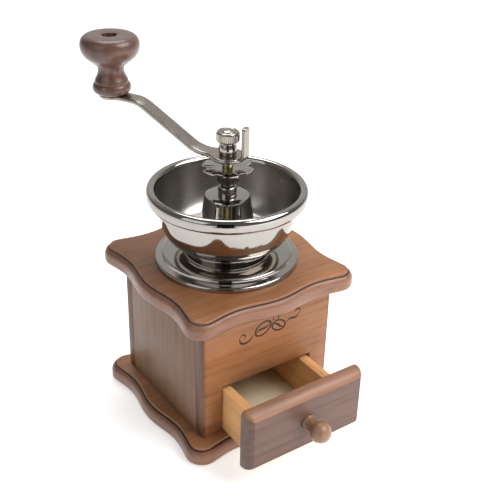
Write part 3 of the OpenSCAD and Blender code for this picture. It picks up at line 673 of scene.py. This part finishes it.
BRIDGE_TOP = 155.0
BRIDGE_T = 1.5
FEET_Z = 123.1
WINDOW_HALF = math.radians(32)   # half the angle of a window between two legs
bridge_path = [(4.45, BRIDGE_TOP - BRIDGE_T), (12.5, BRIDGE_TOP - BRIDGE_T),
               (13.15, BRIDGE_TOP - BRIDGE_T - 0.25), (13.45, BRIDGE_TOP - BRIDGE_T - 0.9)]
bridge_path += arc(20.2, FEET_Z + 2.6, 2.6, 190, 270, 8) + [(26.8, FEET_Z)]
bridge = turned("bridge_piece", sheet(bridge_path, BRIDGE_T), nickel, "frame", "bridge", "bright_plate", 192)
for azimuth in SCREW_AZIMUTHS:
    a = math.radians(azimuth + 60)
    wedge = [(1.0, 0.0), (40 * math.cos(WINDOW_HALF), 40 * math.sin(WINDOW_HALF)),
             (40 * math.cos(WINDOW_HALF), -40 * math.sin(WINDOW_HALF))]
    wedge = [(x * math.cos(a) - y * math.sin(a), x * math.sin(a) + y * math.cos(a)) for x, y in wedge]
    cut(bridge, *prism(wedge, FEET_Z - 1, BRIDGE_TOP - BRIDGE_T - 0.6))
finish_piece(bridge, nickel, "frame", "bridge", slot="bright_plate", bevel=(0.3, 2, 50))

turned("sleeve_piece", [(3.35, 152.5), (4.4, 152.5), (4.4, BRIDGE_TOP), (6.05, BRIDGE_TOP), (6.05, 159.7),
                        (5.95, 160.1), (5.8, 160.4), (5.1, 161.1), (4.95, 161.2), (3.35, 161.2)],
       nickel, "frame", "bearing_sleeve", "bright_plate", 96)

# ---------------------------------------------------------------- star nut

STAR_R = 16.4
STAR_T = 1.4
PETALS = 6
SHAFT_HOLE_R = 3.4
PETAL_HALF = 16.5            # half the angle that one petal takes up
NOTCH_FLOOR_HALF = 9.0       # half the angle of a notch's floor
NOTCH_DEPTH = 2.9
FIRST_PETAL = 4.5            # direction of a petal's middle, from +X
outline = []
for i in range(PETALS):
    middle = FIRST_PETAL + i * 360 / PETALS
    notch = middle + 180 / PETALS
    spots = [(STAR_R, middle - PETAL_HALF + PETAL_HALF * k / 6) for k in range(13)]
    spots += [(STAR_R - NOTCH_DEPTH, notch - NOTCH_FLOOR_HALF + NOTCH_FLOOR_HALF * k / 4) for k in range(9)]
    outline += [(r * math.cos(math.radians(a)), r * math.sin(math.radians(a))) for r, a in spots]
n_out = len(outline)
start = math.atan2(outline[0][1], outline[0][0])
hole = [(SHAFT_HOLE_R * math.cos(start + 2 * math.pi * i / n_out),
         SHAFT_HOLE_R * math.sin(start + 2 * math.pi * i / n_out)) for i in range(n_out)]
rings = [[(x, y, STAR_Z) for x, y in hole], [(x, y, STAR_Z) for x, y in outline],
         [(x, y, STAR_Z + STAR_T) for x, y in outline], [(x, y, STAR_Z + STAR_T) for x, y in hole]]
verts, faces = loft(rings, closed_ends=False)
faces += [(3 * n_out + i, 3 * n_out + (i + 1) % n_out, (i + 1) % n_out, i) for i in range(n_out)]
make("star_wheel_piece", verts, faces, nickel, "star", slot="bright_plate", bevel=(0.3, 2, 40))
turned("star_boss_piece", [(3.35, STAR_BOSS_Z), (5.2, STAR_BOSS_Z), (5.5, STAR_BOSS_Z + 0.2),
                           (5.7, STAR_BOSS_Z + 0.5), (5.7, STAR_BOSS_Z + 1.1), (6.4, STAR_BOSS_Z + 1.5),
                           (6.7, STAR_BOSS_Z + 1.9), (6.7, STAR_Z - 0.6), (6.95, STAR_Z - 0.2),
                           (7.3, STAR_Z + 0.05), (3.35, STAR_Z + 0.05)], nickel, "star", "star_nut",
       "bright_plate", 96)

# ---------------------------------------------------------------- crank

STRIP_HALF = 5.7
HUB_R = 11.2
END_R = 8.6
TAB_HALF = 3.5
TAB_OUT = 13.6
TAB_TOP = 202.0
HUB_FILLET = 9.0
END_FILLET = 12.0
RISE = math.radians(30)
HUB_Z = HUB_TOP - ARM_T      # underside of the strip at the hub
END_Z = ARM_TOP - ARM_T      # underside of the strip at the knob
HUB_BEND_S = 14.8
HUB_BEND_R = 26.0
END_BEND_R = 18.0
END_BEND_S = (HUB_BEND_S + (HUB_BEND_R + END_BEND_R) * math.sin(RISE)
              + (END_Z - HUB_Z - (HUB_BEND_R + END_BEND_R) * (1 - math.cos(RISE))) / math.tan(RISE))


def half_width(s):
    """Half the crank's width at distance s from the shaft's axis."""
    def reach(r, f):
        return math.sqrt((r + f) ** 2 - (STRIP_HALF + f) ** 2)
    hub_reach = reach(HUB_R, HUB_FILLET)
    end_reach = reach(END_R, END_FILLET)
    hub_touch = HUB_R * hub_reach / (HUB_R + HUB_FILLET)
    end_touch = CRANK_L - END_R * end_reach / (END_R + END_FILLET)
    if s < -HUB_R:
        return TAB_HALF
    if s < hub_touch:
        return max(TAB_HALF, math.sqrt(max(HUB_R ** 2 - s * s, 0)))
    if s < hub_reach:
        return STRIP_HALF + HUB_FILLET - math.sqrt(HUB_FILLET ** 2 - (hub_reach - s) ** 2)
    if s < CRANK_L - end_reach:
        return STRIP_HALF
    if s < end_touch:
        return STRIP_HALF + END_FILLET - math.sqrt(END_FILLET ** 2 - (s - CRANK_L + end_reach) ** 2)
    return math.sqrt(max(END_R ** 2 - (s - CRANK_L) ** 2, 0))


def even_steps(path, step):
    """The same path with points no further apart than a step."""
    points = [path[0]]
    for (ax, ay), (bx, by) in zip(path, path[1:]):
        n = max(1, math.ceil(math.hypot(bx - ax, by - ay) / step))
        points += [(ax + (bx - ax) * i / n, ay + (by - ay) * i / n) for i in range(1, n + 1)]
    return points


tip = CRANK_L + END_R
crank_path = [(-TAB_OUT, TAB_TOP), (-TAB_OUT, HUB_Z + 4.3)]
crank_path += arc(-TAB_OUT + 4.3, HUB_Z + 4.3, 4.3, 183, 270, 14)
crank_path += arc(HUB_BEND_S, HUB_Z + HUB_BEND_R, HUB_BEND_R, 270, 300, 20)
crank_path += arc(END_BEND_S, END_Z - END_BEND_R, END_BEND_R, 120, 90, 16)
crank_path += [(tip - 1.2, END_Z)]
crank_path = even_steps(crank_path, 0.6)
crank_path += [(tip - 1.2 * (1 - math.sin(math.radians(a))), END_Z) for a in (15, 30, 45, 60, 72, 82, 90)]
upper = offset(crank_path, ARM_T)


def strip_section(low, high, w):
    """Cross-section of the strip with rounded edges, from its lower to its upper centre point."""
    r = min(1.25, w * 0.8 + 0.02)
    points = []
    for side, t, a in ((1, 1, 0), (-1, 1, 90), (-1, -1, 180), (1, -1, 270)):
        for k in range(5):
            b = math.radians(a + 22.5 * k)
            across = side * (w - r) + r * math.cos(b)
            up = 0.5 + t * (0.5 - r / ARM_T) + r / ARM_T * math.sin(b)
            s = low[0] + (high[0] - low[0]) * up
            z = low[1] + (high[1] - low[1]) * up
            points.append((s, across, z))
    return points


rings = []
for low, high in zip(crank_path, upper):
    w = half_width(low[0])
    below_top = TAB_TOP - low[1] if low[0] < -TAB_OUT + 0.5 else 99
    if below_top < 1.2:
        w -= 1.2 - math.sqrt(1.2 ** 2 - (1.2 - below_top) ** 2)
    rings.append(strip_section(low, high, max(w, 0.05)))
verts, faces = loft(rings)
to_crank = Matrix.Rotation(CRANK_AZ, 4, "Z")
make("crank_arm_piece", moved(verts, to_crank), faces, satin_nickel, "rotor", "crank_arm",
     slot="bright_plate", smooth_angle=45)

cap = [(0.01, 0), (5.3, 0), (5.45, 0.3), (5.6, 1), (5.9, 3.2), (5.85, 4.4), (5.6, 5.6), (5.2, 6.8),
       (4.98, 7.5), (5.0, 7.9), (5.2, 8.3), (5.9, 8.6), (6.7, 8.8), (7.0, 9.1), (7.1, 9.5),
       (7.1, 14.0), (7.0, 14.5), (6.8, 14.9),
       (6.4, 15.2), (5.9, 15.3), (5.5, 15.1), (5.3, 14.9), (4.7, 14.9), (4.4, 15.2), (4, 15.5), (3.3, 15.85),
       (2.5, 16.1), (1.3, 16.33), (0.01, 16.4)]
# the knurled band runs between these two heights
KNURL_LOW = 9.3
KNURL_HIGH = 14.3
RIDGES = 40


def knurl(angle, radius, height):
    """What the knurled band adds to the cap nut's radius."""
    inside = KNURL_LOW < height < KNURL_HIGH and radius > 6.9
    return 0.3 - 0.36 * abs(math.cos(angle * RIDGES / 2)) if inside else 0.0


cap_steps = []
for (r0, z0), (r1, z1) in zip(cap, cap[1:]):
    n = 5 if z1 - z0 > 3 and r0 > 6.9 else 1
    cap_steps += [(r0 + (r1 - r0) * i / n, z0 + (z1 - z0) * i / n) for i in range(n)]
cap_steps.append(cap[-1])
turned("cap_nut_piece", cap_steps, cap_nickel, "rotor", "cap_nut", "bright_plate", RIDGES * 8,
       ripple=knurl, matrix=Matrix.Translation((0, 0, HUB_TOP)), smooth_angle=50)

# ---------------------------------------------------------------- wooden knobs

KNOB_H = 37.4
knob = [(4.2, 0), (9.8, 0), (10.7, 0.2), (11.3, 0.7), (11.85, 1.3), (12.2, 2), (12.37, 2.7), (12.4, 3.4),
        (12.3, 4.3), (12.1, 5.2), (11.75, 5.9), (11.3, 6.5), (10.8, 6.8), (10.9, 7.3), (10.7, 8.2)]
knob += curve((10.3, 9.2), (8.2, 13), (7.9, 15.4), (9.2, 18.6), 16)
knob += [(9.7, 19.1), (10.3, 19.3), (10.9, 19.5), (11.3, 19.7), (11.6, 20), (12, 20.7)]
knob += curve((13, 21.4), (17, 23.6), (19.4, 28), (18.8, 32), 20)
knob += curve((18.6, 33.2), (17.8, 36), (16, 37.2), (13.6, KNOB_H), 12)
knob += [(9.0, KNOB_H), (5.3, KNOB_H), (4.95, KNOB_H - 0.15), (4.8, KNOB_H - 0.5), (4.8, 30.4),
         (4.2, 30.4)]
knob_place = Matrix.Translation((CRANK_L * math.cos(CRANK_AZ), CRANK_L * math.sin(CRANK_AZ), KNOB_Z))
turned("crank_knob_piece", knob, wood_knob, "knob", "crank_knob", "dark_stained_wood", 160,
       matrix=knob_place)

pull = [(1.95, 0), (5.2, 0), (5.4, 0.3), (5.4, 0.8), (5.25, 1.3), (4.9, 1.8)]
pull += curve((4.6, 2.4), (4.1, 4.4), (4, 6), (4.8, 7.8), 14)
pull += curve((5.4, 8.4), (7.8, 10), (7.6, 14.4), (4.6, 17.2), 20)
pull += [(3.9, 17.7), (3, 18.1), (1.4, 18.6), (0.01, 18.7), (0.01, 13.0), (1.95, 13.0)]
pull_place = Matrix.Translation((0, FRONT_BACK_Y - FRONT_T, PULL_Z))
pull_place = pull_place @ Matrix.Rotation(math.radians(90), 4, "X")
turned("drawer_knob_piece", pull, wood_pull, "drawer", "drawer_knob", "stained_wood", 128,
       matrix=pull_place)

# ---------------------------------------------------------------- burnt ornament on the front panel


def stroke(points, width, closed=False, taper=True):
    """Flat ribbon along points in X and Z, just proud of the front panel."""
    y = -HALF - 0.04
    n = len(points)
    verts = []
    for i, (x, z) in enumerate(points):
        ax, az = points[(i - 1) % n] if closed else points[max(i - 1, 0)]
        bx, bz = points[(i + 1) % n] if closed else points[min(i + 1, n - 1)]
        length = math.hypot(bx - ax, bz - az)
        half = width * 0.62
        if taper:
            half *= 0.25 + 0.75 * math.sin(math.pi * i / (n - 1))
        for side in (-1, 1):
            verts.append((x - side * half * (bz - az) / length, y, z + side * half * (bx - ax) / length))
    last = n if closed else n - 1
    faces = [(2 * i, 2 * i + 1, (2 * i + 3) % (2 * n), (2 * i + 2) % (2 * n)) for i in range(last)]
    return verts, faces


def bean(cx, cz, rx, rz, tilt):
    """Outline and crease of a coffee bean."""
    c = math.cos(math.radians(tilt))
    s = math.sin(math.radians(tilt))

    def place(points):
        return [(cx + x * c - z * s, cz + x * s + z * c) for x, z in points]

    ring = place([(rx * math.cos(math.radians(a)), rz * math.sin(math.radians(a)))
                  for a in range(0, 360, 10)])
    crease = place(curve((-rx * 0.92, 0.2), (-rx * 0.3, rz * 0.75), (rx * 0.3, -rz * 0.75),
                         (rx * 0.92, -0.2), 20))
    return [stroke(ring, 0.95, closed=True, taper=False), stroke(crease, 1.2)]


ornament = bean(-4.6, 81.6, 6.4, 4.3, 28) + bean(7.6, 79.9, 5.4, 3.7, -22)
ornament += [stroke(curve((-22.4, 80.6), (-24.0, 74.6), (-15.6, 72.6), (-11.8, 79.6), 24), 1.3),
             stroke(curve((-22.4, 80.6), (-20.6, 84.2), (-16.6, 81.4), (-19.2, 78.6), 18), 0.9),
             stroke(curve((13.9, 79.6), (17.4, 85.0), (21.0, 77.4), (24.4, 84.4), 24), 1.3),
             stroke(curve((24.4, 84.4), (25.0, 87.8), (20.4, 88.6), (20.8, 85.0), 18), 0.9),
             stroke(curve((3.6, 84.6), (1.8, 86.4), (5.6, 87.6), (3.8, 89.6), 16), 0.8),
             stroke(curve((7.6, 84.6), (5.8, 86.4), (9.6, 87.6), (7.8, 89.6), 16), 0.8)]
verts = []
faces = []
for stroke_verts, stroke_faces in ornament:
    faces += [tuple(k + len(verts) for k in face) for face in stroke_faces]
    verts += stroke_verts
make("burnt_ornament", verts, faces, burnt, "frame")

# ---------------------------------------------------------------- CAD parts that are shown as they are

SHOWN_AS_THEY_ARE = {
    "corner_blocks": wood_bare_x, "drawer_guides": wood_bare_y, "drawer_bottom": wood_ply_and_painted_light,
    "burr_housing": burr_iron, "inner_burr": burr_iron, "shaft": zinc, "knob_bush": zinc,
    "knob_screw": copper, "base_screws": plain_steel, "housing_screws": plain_steel,
    "bridge_screws": plain_steel, "drawer_knob_screw": plain_steel, "shaft_guide": plain_steel,
    "burr_spring": plain_steel, "spring_washer": plain_steel, "burr_washer": plain_steel,
    "burr_nut": plain_steel}
for node, material in SHOWN_AS_THEY_ARE.items():
    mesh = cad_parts[node].data
    mesh.materials.clear()
    mesh.materials.append(material)

# ---------------------------------------------------------------- camera, floor and light

scene = bpy.context.scene
camera_data = bpy.data.cameras.new("camera")
camera_data.lens = 65.03
camera_data.sensor_width = 36
camera = bpy.data.objects.new("camera", camera_data)
scene.collection.objects.link(camera)
yaw = math.radians(-35.29)
pitch = math.radians(29.33)
roll = math.radians(1.52)
right = Vector((math.cos(yaw), math.sin(yaw), 0))
back = Vector((math.sin(yaw) * math.cos(pitch), -math.cos(yaw) * math.cos(pitch), math.sin(pitch)))
up = back.cross(right)
camera_x = math.cos(roll) * right + math.sin(roll) * up
camera_y = -math.sin(roll) * right + math.cos(roll) * up
camera.matrix_world = Matrix((
    (camera_x.x, camera_y.x, back.x, -0.2877),
    (camera_x.y, camera_y.y, back.y, -0.4332),
    (camera_x.z, camera_y.z, back.z, 0.4061),
    (0, 0, 0, 1)))
scene.camera = camera

# the floor glows a little, so that it stays plain white around the mill
FLOOR_HALF = 6.0
FLOOR_HEIGHT = -0.0005       # just under the base board
floor_material = Nodes("floor")
floor_material.set(Base_Color=(0.85, 0.85, 0.85, 1), Roughness=0.9)
floor_material.shader.inputs["Emission Color"].default_value = (1, 1, 1, 1)
floor_material.shader.inputs["Emission Strength"].default_value = 0.52
floor_mesh = bpy.data.meshes.new("floor")
floor_corners = [(-1, -1), (1, -1), (1, 1), (-1, 1)]
floor_mesh.from_pydata([(x * FLOOR_HALF, y * FLOOR_HALF, FLOOR_HEIGHT) for x, y in floor_corners],
                       [], [(0, 1, 2, 3)])
floor_mesh.materials.append(floor_material.material)
floor = bpy.data.objects.new("floor", floor_mesh)
scene.collection.objects.link(floor)

world = bpy.data.worlds.new("world")
scene.world = world
world.use_nodes = True
sky = world.node_tree
# bright behind the mill and to its right, and dim in front
direction = sky.nodes.new("ShaderNodeTexCoord")
toward_back = sky.nodes.new("ShaderNodeVectorMath")
toward_back.operation = "DOT_PRODUCT"
toward_back.inputs[1].default_value = (0.50, 0.72, 0.48)
sky.links.new(direction.outputs["Generated"], toward_back.inputs[0])
glow = sky.nodes.new("ShaderNodeValToRGB")
glow.color_ramp.interpolation = "EASE"
glow.color_ramp.elements[0].position = 0.45
glow.color_ramp.elements[0].color = (0.17, 0.17, 0.17, 1)
glow.color_ramp.elements[1].position = 0.95
glow.color_ramp.elements[1].color = (0.62, 0.61, 0.60, 1)
sky.links.new(toward_back.outputs["Value"], glow.inputs[0])
sky.links.new(glow.outputs[0], sky.nodes["Background"].inputs[0])
sky.nodes["Background"].inputs[1].default_value = 1.0
scene.view_settings.view_transform = "Standard"


def softbox(name, place, target, width, height, power):
    """A rectangular area light that faces a target."""
    data = bpy.data.lights.new(name, "AREA")
    data.shape = "RECTANGLE"
    data.size = width
    data.size_y = height
    data.energy = power
    lamp = bpy.data.objects.new(name, data)
    scene.collection.objects.link(lamp)
    lamp.location = place
    lamp.rotation_euler = (Vector(target) - Vector(place)).to_track_quat("-Z", "Y").to_euler()
    return lamp


softbox("key", (0.55, -0.62, 1.08), (0, 0, 0.08), 0.90, 0.80, 13.0)
softbox("left_fill", (-1.05, -0.20, 0.70), (0, 0, 0.10), 0.70, 0.80, 2.0)
low_fill = softbox("low_fill", (0.25, -1.10, 0.26), (0, 0, 0.06), 0.80, 0.40, 7.5)
low_fill.visible_glossy = False
softbox("overhead", (0.20, 0.45, 1.15), (0, 0, 0.10), 0.60, 0.50, 5.0)

# a dark flat in front of the mill, which the polished rings reflect
card_material = Nodes("dark_card")
card_material.set(Base_Color=(0.01, 0.01, 0.01, 1), Roughness=1.0)
card_material.shader.inputs["Specular IOR Level"].default_value = 0.0
card_mesh = bpy.data.meshes.new("dark_card")
card_points = [(-0.12, 0.28, 0.0), (0.12, 0.28, 0.0), (0.13, 0, 0.0), (-0.13, 0, 0.0), (0.13, 0, 0.55),
               (-0.13, 0, 0.55)]
card_mesh.from_pydata(card_points, [], [(0, 1, 2, 3), (3, 2, 4, 5)])
card_mesh.materials.append(card_material.material)
card = bpy.data.objects.new("dark_card", card_mesh)
scene.collection.objects.link(card)
card.matrix_world = Matrix.Translation((-0.38, -0.54, 0.001)) @ Matrix.Rotation(yaw, 4, "Z")
card.visible_camera = False
card.visible_diffuse = False
card.visible_shadow = False
